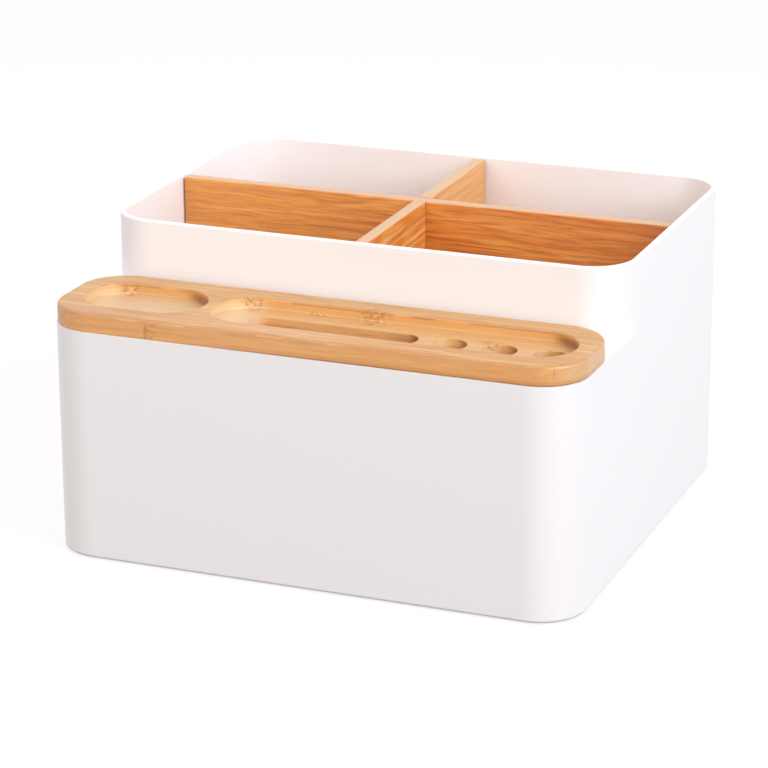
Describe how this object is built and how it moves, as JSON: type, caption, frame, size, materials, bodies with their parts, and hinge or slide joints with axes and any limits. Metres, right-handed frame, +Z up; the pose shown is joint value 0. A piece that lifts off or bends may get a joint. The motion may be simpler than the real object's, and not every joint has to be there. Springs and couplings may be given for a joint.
{
  "type": "desk organizer",
  "caption": "Rounded plastic desk box with a low front bay under a lift-off wooden lid with tray, slot and pen holes, and a tall rear bay split by crossed wooden dividers.",
  "frame": {"origin": "on the standing surface, below the middle of the footprint", "axes": "+X to the right of someone facing the lid, +Y towards the back, +Z up"},
  "size_m": [0.25, 0.232, 0.1418],
  "materials": {
    "white_plastic": "satin white moulded plastic",
    "bamboo_lid": "clear-lacquered bamboo board, pale honey",
    "bamboo_divider": "clear-lacquered bamboo board, warmer and darker than the lid",
    "non_slip_pad": "matt translucent white silicone"
  },
  "bodies": {
    "organizer_body": {"organizer_body": "white_plastic", "foot_front_left": "non_slip_pad", "foot_front_right": "non_slip_pad", "foot_rear_left": "non_slip_pad", "foot_rear_right": "non_slip_pad"},
    "lid": {"lid": "bamboo_lid"},
    "short_divider": {"short_divider": "bamboo_divider"},
    "long_divider": {"long_divider": "bamboo_divider"}
  },
  "joints": [
    {"name": "lid_lift", "type": "slide", "parent": "organizer_body", "child": "lid", "axis": [0, 0, 1], "range_m": [0, 0.06]},
    {"name": "short_divider_lift", "type": "slide", "parent": "organizer_body", "child": "short_divider", "axis": [0, 0, 1], "range_m": [0, 0.15]},
    {"name": "long_divider_lift", "type": "slide", "parent": "short_divider", "child": "long_divider", "axis": [0, 0, 1], "range_m": [0, 0.15]}
  ]
}
